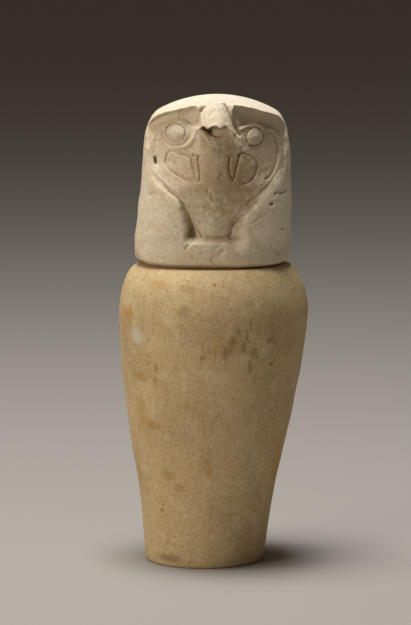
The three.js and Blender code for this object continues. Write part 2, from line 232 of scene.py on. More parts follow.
def jar_profile():
    """Rings (radius, height) from the middle of the foot, over the rim, to the middle of the floor."""
    size = jar_sizes()
    half_turn = math.pi / 2
    rings = [(UNDERSIDE_RING * size.foot_radius, 0.0), (size.foot_radius - UNDERSIDE_INSET, 0.0)]
    rings += [(body_radius(z), z) for z in FOOT_RISE * np.array(FOOT_RINGS)]
    rings += [(body_radius(z), z) for z in np.linspace(FOOT_RISE, size.shoulder_height, BODY_RINGS)[1:]]
    for turn in np.linspace(0, half_turn, SHOULDER_RINGS)[1:]:
        z = mix(size.shoulder_height, size.height, math.sin(turn) ** (2 / SHOULDER_FULLNESS))
        rings.append((body_radius(z), z))
    for turn in np.linspace(0, half_turn, MOUTH_RINGS):
        out = MOUTH_ROUNDING * (1 - math.sin(turn))
        rings.append((size.mouth_radius + out, size.height - MOUTH_ROUNDING * (1 - math.cos(turn))))
    neck_foot = size.height - MOUTH_DEPTH
    cavity_top = neck_foot - (size.shoulder_radius - size.wall - size.mouth_radius)
    for turn in np.linspace(0, half_turn, CEILING_RINGS):
        out = mix(size.mouth_radius, body_radius(cavity_top) - size.wall, math.sin(turn))
        rings.append((out, mix(cavity_top, neck_foot, math.cos(turn))))
    cavity_foot = size.floor + CAVITY_ROUNDING
    for z in np.linspace(cavity_top, cavity_foot, CAVITY_RINGS)[1:]:
        rings.append((body_radius(z) - size.wall, z))
    for turn in np.linspace(0, half_turn, CORNER_RINGS)[1:]:
        inner = body_radius(cavity_foot) - size.wall - CAVITY_ROUNDING * (1 - math.cos(turn))
        rings.append((inner, cavity_foot - CAVITY_ROUNDING * math.sin(turn)))
    rings.append((FLOOR_RING * size.mouth_radius, size.floor))
    return rings


# The lid's block: how square its plan is, the crown, the share of the height from which the wall bends in
# towards it, the rounding of the foot's edge, and the lip and the wear of the brim
PLAN_FULLNESS = 2.3
CROWN_HALF_WIDTH = 44.4 * MM
CROWN_FRONT = 41 * MM
CROWN_BACK = 44.5 * MM
CROWN_RADIUS = 77 * MM
CROWN_FRONT_DROP = 3.4 * MM
CORNER_START = 36 * MM
CORNER_DROP = 6.3 * MM
CROWN_START = 0.74
CROWN_BEND = 1.3
EDGE_ROUNDING = 3.2 * MM
EDGE_REACH = 1.4 * EDGE_ROUNDING
BRIM_LIP = 0.012
BRIM_WEAR = 0.5 * MM
BRIM_WEAR_MEAN = 0.6
BRIM_GRAIN = 5 * MM

# The wig's half width, front and back depth by height
wig_width = track(
    (0, 1), (0.15, 1), (0.25, 0.982), (0.36, 0.978), (0.44, 0.961), (0.6, 0.945), (0.68, 0.935),
    (0.74, 0.918))
wig_front = track((0, 0.975), (0.1, 1), (0.4, 1), (0.58, 0.985), (0.74, 0.955))
wig_back = track((0, 0.95), (0.2, 0.99), (0.45, 1.02), (0.62, 1.01), (0.74, 0.985))


def plan_front(s):
    """Depth of the plan's front at a share s of the half width, as a share of the depth."""
    return (1 - np.clip(np.abs(s), 0, 1) ** PLAN_FULLNESS) ** (1 / PLAN_FULLNESS)


def crown(x, y):
    """Height of the crown: a vault with dropped corners from front to back, which falls away behind."""
    behind = np.maximum(y, 0) / CROWN_BACK
    ring = (np.abs(x) / CROWN_HALF_WIDTH) ** PLAN_FULLNESS + behind ** PLAN_FULLNESS
    out = CROWN_HALF_WIDTH * ring ** (1 / PLAN_FULLNESS)
    vault = lid_sizes().height - CROWN_RADIUS + np.sqrt(np.maximum(0, CROWN_RADIUS ** 2 - out ** 2))
    corner = np.maximum(0, (out - CORNER_START) / (CROWN_HALF_WIDTH - CORNER_START))
    front = np.where(y > 0, 0, CROWN_FRONT_DROP * (y / CROWN_FRONT) ** 2)
    return vault - CORNER_DROP * corner ** 3 - front


def brim_height(x):
    """Height of the brim's edge at a place across."""
    return crown(np.minimum(np.abs(x), CROWN_HALF_WIDTH), -CROWN_FRONT * plan_front(x / CROWN_HALF_WIDTH))


def wall_plan(z):
    """Half width, front depth and back depth of the block on the wall."""
    size = lid_sizes()
    up = z / size.height
    rounding = EDGE_ROUNDING * (1 - arc(np.clip(1 - z / EDGE_REACH, 0, 1)))
    return (size.half_width * wig_width(up) - rounding, size.front_depth * wig_front(up) - rounding,
            size.back_depth * wig_back(up) - rounding)


def brow_plan(share):
    """The same from the level of the eyes up to the brim, by share of the way."""
    width, front, back = wall_plan(CROWN_START * lid_sizes().height)
    rounding = share ** CROWN_BEND
    return (mix(width, CROWN_HALF_WIDTH, rounding), mix(front, CROWN_FRONT, share),
            mix(back, CROWN_BACK, rounding))


# The lid's carving: across in shares of the half width, up of the height and deep of the front depth.
# A pair of tracks holds the left and the right side of the face.

# The ledge under the neck: where it starts in front and behind, its fade to the right and its hollowness
LEDGE_FRONT = 0.15
LEDGE_BACK = 0.197
LEDGE_FADE = 0.07
LEDGE_HOLLOW = 0.6
LEDGE_TURN = (0.15, 0.2)

# The face: its edge against the wig, the arris inside that edge and the valley between them
EDGE = (
    track((0.197, 0.3), (0.23, 0.285), (0.3, 0.31), (0.367, 0.365), (0.42, 0.465), (0.477, 0.62),
          (0.53, 0.755), (0.59, 0.83), (0.66, 0.85), (0.77, 0.825), (0.84, 0.79)),
    track((0.197, 0.26), (0.23, 0.235), (0.3, 0.262), (0.36, 0.35), (0.42, 0.49), (0.477, 0.625),
          (0.53, 0.74), (0.58, 0.8), (0.66, 0.83), (0.77, 0.81), (0.84, 0.79)),
)
ARRIS = (
    track((0.19, 0.125), (0.215, 0.143), (0.29, 0.227), (0.38, 0.333), (0.42, 0.43), (0.5, 0.665),
          (0.6, 0.8), (0.84, 0.76)),
    track((0.19, 0.17), (0.25, 0.185), (0.3, 0.225), (0.36, 0.31), (0.42, 0.44), (0.5, 0.65),
          (0.6, 0.77), (0.84, 0.76)),
)
FLANK = (
    track((0.19, 0.1), (0.28, 0.12), (0.36, 0.075), (0.42, 0.055), (0.55, 0.05), (0.84, 0.05)),
    track((0.19, 0.03), (0.3, 0.03), (0.36, 0.035), (0.42, 0.04), (0.55, 0.05), (0.84, 0.05)),
)
VALLEY = (
    track((0.19, 0.21), (0.24, 0.24), (0.3, 0.19), (0.367, 0.12), (0.42, 0.08), (0.5, 0.06),
          (0.66, 0.06), (0.84, 0.09)),
    track((0.19, 0.15), (0.24, 0.14), (0.3, 0.1), (0.36, 0.06), (0.42, 0.045), (0.5, 0.05),
          (0.66, 0.07), (0.84, 0.09)),
)
SPREAD = (
    track((0.19, 0.045), (0.3, 0.05), (0.4, 0.07), (0.5, 0.09), (0.6, 0.06)),
    track((0.19, 0.12), (0.3, 0.13), (0.4, 0.14), (0.5, 0.1), (0.6, 0.06)),
)
ROUNDNESS = (
    track((0.19, 1.6), (0.3, 1.5), (0.42, 1.45), (0.55, 1.5), (0.8, 1.6), (0.97, 1.7)),
    track((0.19, 1.35), (0.3, 1.3), (0.42, 1.35), (0.55, 1.5), (0.8, 1.6), (0.97, 1.7)),
)
face_middle = track(
    (0.19, 0.88), (0.24, 0.91), (0.3, 0.945), (0.37, 0.985), (0.46, 1.05), (0.56, 1.1), (0.65, 1.11),
    (0.74, 1.07), (0.8, 1.02), (0.86, 0.95), (0.97, 0.82))
FLANK_FALL = 0.9

# How broad the keel down the middle of the face is, in shares of the way to the arris, and how far the
# roundness of one side passes over into the other's
KEEL_SOFTNESS = 0.16
KEEL_BLEND = 0.2

# How far the chisel wandered from a true line, and the share of it that goes up and down
WANDER = 0.45 * MM
WANDER_GRAIN = 6 * MM
WANDER_UP = 0.7

# The recess under the brim: its lower line over the eyes, its inner line beside the beak, its depth on
# the left and the right, the step that stays all the way down and where the rest has faded; how soft its
# edges are below, at the inner end and at the outer corner
BROW = (
    track((0.3, 0.82), (0.38, 0.842), (0.5, 0.852), (0.65, 0.832), (0.74, 0.815), (0.81, 0.75),
          (0.85, 0.68)),
    track((0.28, 0.81), (0.36, 0.83), (0.49, 0.84), (0.63, 0.815), (0.73, 0.79), (0.8, 0.73),
          (0.85, 0.65)),
)
INNER = (
    track((0.7, 0.34), (0.74, 0.31), (0.8, 0.24), (0.85, 0.2), (0.89, 0.215), (0.93, 0.235),
          (0.96, 0.27)),
    track((0.7, 0.3), (0.745, 0.26), (0.81, 0.21), (0.86, 0.19), (0.9, 0.19), (0.93, 0.2), (0.96, 0.24)),
)
RECESS = (0.045, 0.055)
RECESS_STEP = 0.03
RECESS_FADE = (1.3, 0.16)
BROW_SOFTNESS = 0.03
INNER_SOFTNESS = (0.14, 0.2)
CORNER_AT = 0.9
CORNER_SOFTNESS = 0.06

# The beak: depth of the forehead beside it and of its crest, its half widths and its fullness; the line of
# the broken tip, the lower lip of the break and its depth, and how soft each of their edges is
forehead = track((0.74, 1.0), (0.81, 0.99), (0.85, 0.975), (0.9, 0.945), (0.95, 0.89), (0.98, 0.86))
crest = track(
    (0.78, 1.17), (0.815, 1.18), (0.835, 1.165), (0.87, 1.1), (0.91, 1.01), (0.945, 0.93), (0.97, 0.875))
BEAK = (
    track((0.77, 0.3), (0.804, 0.268), (0.86, 0.23), (0.928, 0.184), (0.948, 0.135), (0.962, 0.05)),
    track((0.77, 0.24), (0.813, 0.205), (0.86, 0.168), (0.928, 0.118), (0.948, 0.1), (0.962, 0.05)),
)
BEAK_FULLNESS = 1.9
BEAK_OVERLAP = 0.01
BEAK_SOFTNESS = 0.03
TIP_SOFTNESS = 0.01
LIP_SOFTNESS = 0.012
BREAK_SOFTNESS = 0.008
tip_line = track(
    (-0.26, 0.806), (-0.228, 0.815), (-0.2, 0.824), (-0.164, 0.835), (-0.118, 0.82), (-0.06, 0.833),
    (0.0, 0.835), (0.03, 0.825), (0.07, 0.828), (0.11, 0.837), (0.165, 0.808), (0.23, 0.785))
lip_line = track(
    (-0.26, 0.84), (-0.21, 0.831), (-0.164, 0.813), (-0.107, 0.787), (-0.02, 0.772), (0.077, 0.774),
    (0.135, 0.789), (0.19, 0.8))
break_depth = track(
    (-0.22, 0), (-0.165, 0.08), (-0.1, 0.14), (-0.04, 0.1), (0.04, 0.065), (0.13, 0.05), (0.19, 0))

# The eyes: across, up, half width and half height; how far they stand out; the rings about each one as
# distance from the middle in shares of the eye, width and height
EYES = ((-0.513, 0.798, 0.115, 0.05), (0.48, 0.774, 0.105, 0.0485))
EYE_SWELL = 0.05
EYE_FULLNESS = 1.2
EYE_RINGS = ((1.08, 0.08, -0.42), (1.22, 0.1, 0.18))

# The lappets of the wig: middle, reach and how far they stand out, on the left and the right
LAPPETS = (
    {"across": 0.6, "up": 0.3, "wide": 0.25, "high": 0.2, "out": 0.025},
    {"across": 0.92, "up": 0.28, "wide": 0.3, "high": 0.24, "out": 0.09},
)

# Ridges and grooves: places (across, up), half width and height in mm. Lines: places and their share of
# the incision's depth.
RIDGES = (
    (((-0.262, 0.82), (-0.285, 0.785), (-0.325, 0.745), (-0.4, 0.718), (-0.5, 0.71)), 1.4, 1.1),
    (((0.142, 0.848), (0.169, 0.818), (0.206, 0.782), (0.25, 0.745), (0.285, 0.722)), 1.0, 1.0),
    (((-0.225, 0.826), (-0.17, 0.797), (-0.11, 0.765)), 1.3, 0.9),
    (((-0.636, 0.818), (-0.565, 0.857), (-0.483, 0.867), (-0.394, 0.86), (-0.334, 0.843)), 0.9, 0.8),
    (((0.262, 0.797), (0.284, 0.816), (0.364, 0.831), (0.458, 0.845), (0.525, 0.839), (0.579, 0.817)),
     0.9, 1.1),
    (((-0.36, 0.375), (-0.31, 0.325), (-0.262, 0.272), (-0.215, 0.222), (-0.18, 0.195)), 1.0, 2.0),
)
GROOVES = (
    (((-0.19, 0.935), (-0.225, 0.88), (-0.255, 0.835)), 1.0, 1.5),
    (((0.1, 0.958), (0.137, 0.918), (0.173, 0.884), (0.206, 0.847), (0.255, 0.803), (0.272, 0.79)),
     1.1, 3.2),
    (((0.174, 0.912), (0.216, 0.867), (0.257, 0.82)), 0.7, 1.1),
    (((-0.19, 0.925), (-0.15, 0.945), (-0.09, 0.96), (0.07, 0.961), (0.1, 0.95)), 0.8, 0.9),
    (((-0.25, 0.185), (-0.1, 0.192), (0.1, 0.19), (0.2, 0.195)), 1.2, 0.9),
    (((-0.69, 0.783), (-0.65, 0.75), (-0.6, 0.723), (-0.513, 0.719), (-0.422, 0.733), (-0.351, 0.773)),
     0.65, 1.3),
    (((-0.575, 0.873), (-0.521, 0.877), (-0.45, 0.876)), 0.6, 0.5),
    (((-0.4, 0.345), (-0.355, 0.285), (-0.3, 0.225), (-0.262, 0.185)), 1.7, 1.7),
    (((0.5, 0.38), (0.4, 0.332), (0.3, 0.287), (0.24, 0.266)), 1.3, 0.7),
    (((0.31, 0.292), (0.245, 0.266), (0.218, 0.24), (0.208, 0.2)), 1.3, 2.2),
    (((-0.625, 0.823), (-0.57, 0.843), (-0.483, 0.857), (-0.409, 0.85), (-0.364, 0.835)), 0.6, 0.8),
    (((0.262, 0.836), (0.35, 0.846), (0.431, 0.858), (0.498, 0.86), (0.566, 0.842)), 0.65, 0.9),
    (((0.25, 0.79), (0.264, 0.803), (0.323, 0.813), (0.392, 0.824), (0.445, 0.834), (0.498, 0.833),
      (0.553, 0.809), (0.583, 0.784), (0.58, 0.765)), 0.6, 1.1),
    (((0.413, 0.728), (0.46, 0.72), (0.527, 0.728), (0.568, 0.75)), 0.6, 0.7),
    (((0.352, 0.808), (0.352, 0.774)), 0.6, 0.7),
    (((-0.14, 0.822), (-0.085, 0.804)), 1.2, 3.0),
)
LINES = (
    (((-0.335, 0.652), (-0.428, 0.672), (-0.509, 0.681), (-0.58, 0.686), (-0.622, 0.666), (-0.645, 0.625),
      (-0.632, 0.599), (-0.552, 0.562), (-0.459, 0.542), (-0.38, 0.522)), 1.1),
    (((0.277, 0.668), (0.317, 0.683), (0.382, 0.673), (0.446, 0.657), (0.489, 0.622), (0.503, 0.588),
      (0.477, 0.548), (0.414, 0.516), (0.337, 0.503)), 1.3),
    (((-0.323, 0.65), (-0.305, 0.61), (-0.259, 0.529), (-0.228, 0.519), (-0.212, 0.53), (-0.216, 0.586),
      (-0.236, 0.641), (-0.228, 0.663)), 1.0),
    (((0.16, 0.655), (0.147, 0.603), (0.166, 0.558), (0.212, 0.533), (0.242, 0.594), (0.265, 0.631),
      (0.277, 0.668)), 1.5),
    (((0.688, 0.798), (0.736, 0.757), (0.758, 0.71), (0.758, 0.65), (0.725, 0.59), (0.669, 0.541),
      (0.616, 0.524)), 1.4),
    (((0.12, 0.668), (0.2, 0.672)), 0.8),
    (((-0.2, 0.665), (-0.3, 0.668)), 0.8),
    (((0.0, 0.53), (0.05, 0.555), (0.085, 0.572)), 0.35),
    (((0.03, 0.515), (0.09, 0.545)), 0.3),
    (((-0.09, 0.47), (-0.05, 0.44)), 0.3),
)

# Half width of the incised lines, in mm
LINE_HALF_WIDTH = 0.6

# Wear: scratches and chips as places (across, up) from end to end, half width and depth in mm
SCARS = (
    (((-0.776, 0.64), (-0.77, 0.622), (-0.762, 0.607)), 0.8, 4.0),
    (((0.75, 0.437), (0.775, 0.443)), 0.7, 1.3),
    (((0.81, 0.434), (0.822, 0.441)), 0.7, 1.2),
    (((0.862, 0.437), (0.876, 0.445)), 0.7, 1.2),
    (((0.7, 0.376), (0.722, 0.381)), 0.9, 1.6),
    (((0.84, 0.225), (0.852, 0.23)), 0.6, 1.0),
    (((-0.85, 0.42), (-0.82, 0.428)), 0.9, 0.7),
    (((-0.79, 0.257), (-0.81, 0.225), (-0.841, 0.209)), 0.55, 0.7),
    (((-0.48, 0.25), (-0.43, 0.243), (-0.377, 0.229)), 0.7, 0.9),
    (((-0.35, 0.125), (-0.3, 0.148), (-0.24, 0.172)), 0.8, 1.1),
    (((-0.021, 0.056), (0.01, 0.07), (0.06, 0.082), (0.126, 0.114)), 1.0, 1.1),
    (((0.02, 0.125), (0.06, 0.135)), 0.8, 0.5),
    (((0.781, 0.118), (0.81, 0.1), (0.845, 0.08)), 0.7, 1.0),
    (((0.5, 0.285), (0.6, 0.305), (0.678, 0.323)), 0.6, 0.5),
    (((0.46, 0.27), (0.54, 0.283)), 0.5, 0.4),
    (((-0.121, 0.472), (-0.105, 0.46)), 1.0, 1.0),
    (((-0.257, 0.075), (-0.255, 0.077)), 0.7, 0.9),
    (((0.02, 0.54), (0.09, 0.572)), 0.5, 0.6),
    (((-0.06, 0.43), (-0.02, 0.41)), 0.5, 0.5),
    (((-0.66, 0.9), (-0.63, 0.905)), 1.2, 1.0),
    (((-0.47, 0.875), (-0.45, 0.91)), 0.6, 0.7),
    (((-0.43, 0.87), (-0.415, 0.905)), 0.6, 0.6),
    (((0.535, 0.855), (0.545, 0.88)), 0.6, 0.6),
    (((0.83, 0.73), (0.845, 0.66), (0.84, 0.58)), 1.5, 0.9),
    (((-0.537, 0.62), (-0.535, 0.621)), 0.5, 0.9),
    (((-0.1, 0.9), (-0.02, 0.93)), 0.6, 0.5),
)


def side_of(pair, left, place):
    """Values of the left or the right track of a pair."""
    return np.where(left, pair[0](place), pair[1](place))


def block_depth(share, plan):
    """Depth of the uncarved block at a share of the lid's half width."""
    width, front, _ = plan
    return front * plan_front(share * lid_sizes().half_width / width)


def lappet_swell(out, high, lappet):
    """How far a lappet of the wig stands out."""
    across = bell((out - lappet["across"]) / lappet["wide"])
    return lappet["out"] * across * bell((high - lappet["up"]) / lappet["high"])


def face_and_wig(left, across, high, block, plan):
    """Depth of the convex face, of the flank outside its arris and of the wig around it."""
    deep = lid_sizes().front_depth
    out, up = np.abs(across), np.maximum(high, LEDGE_BACK)
    edge = side_of(EDGE, left, up)
    arris = side_of(ARRIS, left, up)
    valley = deep * side_of(VALLEY, left, up)
    flank = deep * side_of(FLANK, left, up)
    low = block_depth(edge, plan) - valley
    middle = deep * face_middle(up)
    roundness = mix(ROUNDNESS[0](up), ROUNDNESS[1](up), ease(0.5 + across / KEEL_BLEND))
    keel = ((out / arris) ** 2 + KEEL_SOFTNESS ** 2) ** (roundness / 2)
    face = middle - (middle - low - flank) * keel
    side = low + flank * (1 - np.clip((out - arris) / (edge - arris), 0, 1) ** FLANK_FALL)
    swell = np.where(left, lappet_swell(out, high, LAPPETS[0]), lappet_swell(out, high, LAPPETS[1]))
    wig = block - valley * bell((out - edge) / side_of(SPREAD, left, up)) + deep * swell
    return np.where(out < arris, face, np.where(out < edge, side, wig))


def recess_depth(left, across, high, inner, brim):
    """How deep the recess under the brim is, at shares across and up and a share below the brim."""
    out = np.abs(across)
    under = (ease((high - side_of(BROW, left, out)) / BROW_SOFTNESS)
             * ease((out - inner) / np.where(left, *INNER_SOFTNESS))
             * ease((CORNER_AT - out) / CORNER_SOFTNESS))
    start, reach = RECESS_FADE
    return under * (np.where(left, *RECESS) * ease(start - brim / reach) + RECESS_STEP)


def add_beak(depth, left, across, high, inner):
    """Raise the beak on the face, with the break under its tip."""
    deep = lid_sizes().front_depth
    out, up = np.abs(across), np.maximum(high, LEDGE_BACK)
    away = np.minimum(out / side_of(BEAK, left, up), 1)
    nose = deep * forehead(up)
    nose += deep * (crest(up) - forehead(up)) * (1 - away ** BEAK_FULLNESS)
    above_tip, above_lip = high - tip_line(across), high - lip_line(across)
    beside = ease((out - inner + BEAK_OVERLAP) / BEAK_SOFTNESS)
    broken = ease(above_lip / LIP_SOFTNESS) * (1 - ease(above_tip / BREAK_SOFTNESS))
    depth = depth - deep * break_depth(across) * broken
    return mix(depth, nose, ease(above_tip / TIP_SOFTNESS) * (1 - beside))


def eye_relief(across, high):
    """How far the eyes and their rings stand out."""
    relief = 0
    for eye_across, eye_up, half_width, half_height in EYES:
        off = np.hypot((across - eye_across) / half_width, (high - eye_up) / half_height)
        form = arc(np.minimum(1, off)) ** EYE_FULLNESS
        for middle, width, height in EYE_RINGS:
            form = form + height * bell((off - middle) / width)
        relief = relief + EYE_SWELL * lid_sizes().front_depth * form
    return relief


def carved_depth(x, z, plan):
    """Depth of the carved front at places across and above the foot of the lid."""
    size = lid_sizes()
    wander = WANDER * lumps(np.stack([x, 0 * x, z], axis=-1), WANDER_GRAIN, octaves=2, seed=4.0)
    high = z / size.height + WANDER_UP * wander / size.height
    across = (x + wander) / size.half_width
    left = x < 0
    block = block_depth(np.abs(x) / size.half_width, plan)
    depth = face_and_wig(left, across, high, block, plan)
    inner = side_of(INNER, left, np.maximum(high, LEDGE_BACK))
    brim = (brim_height(x) - z) / size.height
    depth -= size.front_depth * recess_depth(left, across, high, inner, brim)
    depth = add_beak(depth, left, across, high, inner) + eye_relief(across, high)
    start, reach = LEDGE_TURN
    turned = ease((across - start) / reach)
    foot = LEDGE_FRONT - LEDGE_FADE * turned
    shelf = np.clip((high - foot) / (LEDGE_BACK - foot), 0, 1) ** (1 + LEDGE_HOLLOW * turned)
    return mix(block, depth, shelf)


def smooth_path(places, per_span=8):
    """Points along a smooth curve through places (across, up), as positions on the lid's front."""
    size = lid_sizes()
    points = np.array(places) * (size.half_width, size.height)
    run = np.arange(len(points))
    fine = np.linspace(0, len(points) - 1, per_span * (len(points) - 1) + 1)
    return np.stack([track(*zip(run, points[:, k]))(fine) for k in (0, 1)], axis=1)


def distance_to(path, x, z):
    """Distance from places on the front to the nearest point of a path."""
    near = np.full(x.shape, np.inf)
    for a, b in zip(path[:-1], path[1:]):
        run = b - a
        t = np.clip(((x - a[0]) * run[0] + (z - a[1]) * run[1]) / max(run @ run, 1e-12), 0, 1)
        near = np.minimum(near, np.hypot(x - a[0] - t * run[0], z - a[1] - t * run[1]))
    return near


def stroke(places, half_width, x, z):
    """One along a path, falling to none at either side; the half width is in mm."""
    return bell(distance_to(smooth_path(places), x, z) / (half_width * MM))


def tooled(x, z):
    """Height of ridges, grooves, incised lines and scars at places on the front."""
    relief = np.zeros_like(x)
    for places, half_width, height in RIDGES:
        relief += height * MM * stroke(places, half_width, x, z)
    for places, half_width, depth in GROOVES + SCARS:
        relief -= depth * MM * stroke(places, half_width, x, z)
    for places, share in LINES:
        relief -= share * lid_sizes().incision * stroke(places, LINE_HALF_WIDTH, x, z)
    return relief


# The foot of the lid: its waves, as height in mm by place across, how far up they fade, how far the front
# and the back follow them, and how far its underside is worn back
foot_wave = track(
    (-1, 3.4), (-0.91, 2.9), (-0.76, 2.3), (-0.48, 1.9), (-0.08, 2.0), (0.36, 1.2), (0.69, 1.6),
    (0.91, 2.2), (1, 2.6))
WAVE_REACH = 9 * MM
WAVE_BEHIND = 0.6
UNDERCUT = 0.93

# The fine carving starts above the foot, and fades where the front turns to the sides
TOOLED_FROM = 2 * MM
TOOLED_FADE = 0.35
UNEVEN_FROM = 3 * MM

# Fineness of the lid's mesh: columns on the front, those of them beside FRONT_FLANK on either side, and
# columns on the back; rings on the tenon, on the wall, from the eyes to the brim and on the crown
FRONT_COLUMNS = 236
FRONT_FLANK = 0.95
FLANK_COLUMNS = 8
BACK_COLUMNS = 72
TENON_RINGS = 6
WALL_ROWS = 150
BROW_ROWS = 66
CROWN_ROWS = 34

# Heights of the lowest rings on the wall, in mm, and where the evenly spaced ones start
EDGE_RINGS = (0.0, 0.15, 0.4, 0.8, 1.4, 2.1, 3.0)
WALL_START = 3.5 * MM

# The tenon's chamfer, and its ring just below the lid
TENON_CHAMFER = 1.5 * MM
TENON_TOP = 1.0 * MM

# Where the brim's lip starts, in shares of the way from the eyes to the brim, and how soon it is full; how
# far the wear of the brim reaches onto the crown, in shares of its radius
LIP_START = 0.9
LIP_REACH = 0.08
WEAR_REACH = 0.06


def lid_columns():
    """Places (s, c) of the columns on a unit plan: the front evenly spaced, the back evenly turned."""
    middle = np.linspace(-FRONT_FLANK, FRONT_FLANK, FRONT_COLUMNS - 2 * FLANK_COLUMNS + 1)
    turned = np.sin(np.linspace(math.pi / 2, math.asin(FRONT_FLANK), FLANK_COLUMNS, endpoint=False))
    s = np.concatenate([-turned, middle, turned[::-1][:-1]])
    turn = np.linspace(0, math.pi, BACK_COLUMNS + 1)[:-1]
    back_s = np.sign(np.cos(turn)) * np.abs(np.cos(turn)) ** (2 / PLAN_FULLNESS)
    c = np.concatenate([-plan_front(s), np.sin(turn) ** (2 / PLAN_FULLNESS)])
    return np.concatenate([s, back_s]), c


def wall_ring(s, c, z, plan, carved=True):
    """One ring of the wall, carved in front unless it is the brim's edge."""
    width, front, back = plan
    x = width * s
    depth = carved_depth(x, z, plan) if carved else -front * c
    return np.stack([x, np.where(c >= 0, back * c, -depth), z], axis=-1)


def tool_front(rings, front):
    """Cut the fine carving and the wear into the front, and make the whole surface a little uneven."""
    size = lid_sizes()
    worked = rings[TENON_RINGS:]
    face = worked[:, front]
    x, z = face[..., 0], face[..., 2]
    steep = np.clip(-face[..., 1] / size.front_depth / TOOLED_FADE, 0, 1)
    face[..., 1] -= tooled(x, z) * steep * ease(z / TOOLED_FROM)
    worked[:, front] = face
    flat = worked.reshape(-1, 3)
    outward = flat * (1, 1, 0)
    outward /= np.maximum(np.linalg.norm(outward, axis=1, keepdims=True), 1e-6)
    uneven = unevenness(flat, LID_WAVES) * ease(flat[:, 2] / UNEVEN_FROM) - LID_SETBACK
    flat += outward * uneven[:, None]
    worn = flat.reshape(worked.shape)
    wave = foot_wave(worn[..., 0] / size.half_width) * MM * np.where(front, 1, WAVE_BEHIND)
    worn[1:, :, 2] += (wave * (1 - ease(worn[..., 2] / WAVE_REACH)))[1:]
    worn[0, :, :2] *= UNDERCUT
    rings[TENON_RINGS:] = worn
    return rings


def tenon_rings(s, c):
    """Rings of the round tenon, from the middle of its foot up to the lid's underside."""
    size = lid_sizes()
    inside = size.tenon_radius - TENON_CHAMFER
    rings = [(0.5 * inside, -size.tenon_height), (inside, -size.tenon_height)]
    rings.append((size.tenon_radius, TENON_CHAMFER - size.tenon_height))
    rings += [(size.tenon_radius, z) for z in (-0.5 * size.tenon_height, -TENON_TOP, 0.0)]
    unit = np.stack([s, c]) / np.hypot(s, c)
    return [np.stack([*(radius * unit), np.full_like(s, z)], axis=-1) for radius, z in rings]


def lid_rings():
    """Rings of points from the tenon's foot up to the crown."""
    size = lid_sizes()
    s, c = lid_columns()
    in_front = c < 0
    rings = tenon_rings(s, c)
    top = CROWN_START * size.height
    for z in np.concatenate([np.array(EDGE_RINGS) * MM, np.linspace(WALL_START, top, WALL_ROWS)]):
        rings.append(wall_ring(s, c, np.full_like(s, z), wall_plan(z)))
    crown_depth = np.where(in_front, CROWN_FRONT, CROWN_BACK) * c
    along = np.stack([CROWN_HALF_WIDTH * s, 0 * s, 0 * s], axis=-1)
    chips = BRIM_WEAR_MEAN + lumps(along, BRIM_GRAIN, octaves=3, seed=6.0)
    worn = np.where(in_front, BRIM_WEAR * chips, 0)
    rim = crown(CROWN_HALF_WIDTH * s, crown_depth) - worn
    for share in np.linspace(0, 1, BROW_ROWS + 2)[1:-1]:
        lip = np.where(in_front, BRIM_LIP, 0) * size.height * ease((share - LIP_START) / LIP_REACH)
        rings.append(wall_ring(s, c, mix(top, rim - lip, share), brow_plan(share)))
    rings.append(wall_ring(s, c, rim, brow_plan(1.0), carved=False))
    for share in np.cos(np.linspace(0, math.pi / 2, CROWN_ROWS + 1))[1:-1]:
        x, y = CROWN_HALF_WIDTH * s * share, crown_depth * share
        rings.append(np.stack([x, y, crown(x, y) - worn * ease(1 - (1 - share) / WEAR_REACH)], axis=-1))
    return tool_front(np.array(rings), in_front)


# Making and finishing pieces

def deselect_all():
    for other in bpy.context.selected_objects:
        other.select_set(False)


def name_piece(name, material, node):
    """Give the active object its name, material and place in the frame."""
    piece = bpy.context.object
    piece.name = name
    piece.data.name = name
    piece.data.materials.clear()
    piece.data.materials.append(material)
    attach(piece, "root")
    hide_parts(node)
    return piece


def get_points(mesh):
    """The mesh's points as an array, one row each."""
    flat = np.empty(3 * len(mesh.vertices))
    mesh.vertices.foreach_get("co", flat)
    return flat.reshape(-1, 3)


def set_points(mesh, points):
    mesh.vertices.foreach_set("co", points.ravel())
    mesh.update()


def get_normals(mesh):
    """The normals at the mesh's points, one row each."""
    flat = np.empty(3 * len(mesh.vertices))
    mesh.vertex_normals.foreach_get("vector", flat)
    return flat.reshape(-1, 3)


# Materials

# Layers of tone on the stone: its colour, the size of its clouds in mm, their detail and roughness, where
# the clouds let it through, how strongly, and whether it is drawn out into upright streaks
LAYERS = (
    ("shade", 46, 3.0, 0.55, (0.42, 0.72), 0.45, False),
    ("light", 15, 5.0, 0.55, (0.5, 0.72), 0.4, False),
    ("ochre", 17, 6.0, 0.7, (0.55, 0.72), 0.5, False),
    ("shade", 3.0, 3.0, 0.55, (0.52, 0.72), 0.3, True),
    ("shade", 3.4, 4.0, 0.7, (0.46, 0.68), 0.42, False),
    ("light", 1.3, 2.0, 0.55, (0.5, 0.68), 0.4, False),
)
STREAK = 0.07

# Pits and pale grains: how far apart in mm, their radius as a share of that, and how strong; the clouds
# that gather them are wider by DOT_PATCHES
PITS = (3.1, 0.17, 0.75)
GRAINS = (2.7, 0.15, 0.6)
DOT_CORE = 0.6
DOT_PATCHES = 2.6
DOT_WINDOW = (0.42, 0.58)

# Stains and patches of painted shade and light fade from the first to the second of these shares of their
# reach, and are ragged, the small ones less so
STAIN_AND_PAINTED_LIGHT_EDGE = (1.3, 0.3)
STAIN_AND_PAINTED_LIGHT_STRENGTH = 0.85
RAGGED = 2.8
RAGGED_FROM_MM = 4

# Bump, as shares of BUMP_DEPTH: the fine and the coarse grain, the pale grains and the pits
BUMP_STRENGTH = 0.4
BUMP_DEPTH = 0.5 * MM
FINE_BUMP = 0.5
GRAIN_BUMP = 0.4
PIT_BUMP = 0.9


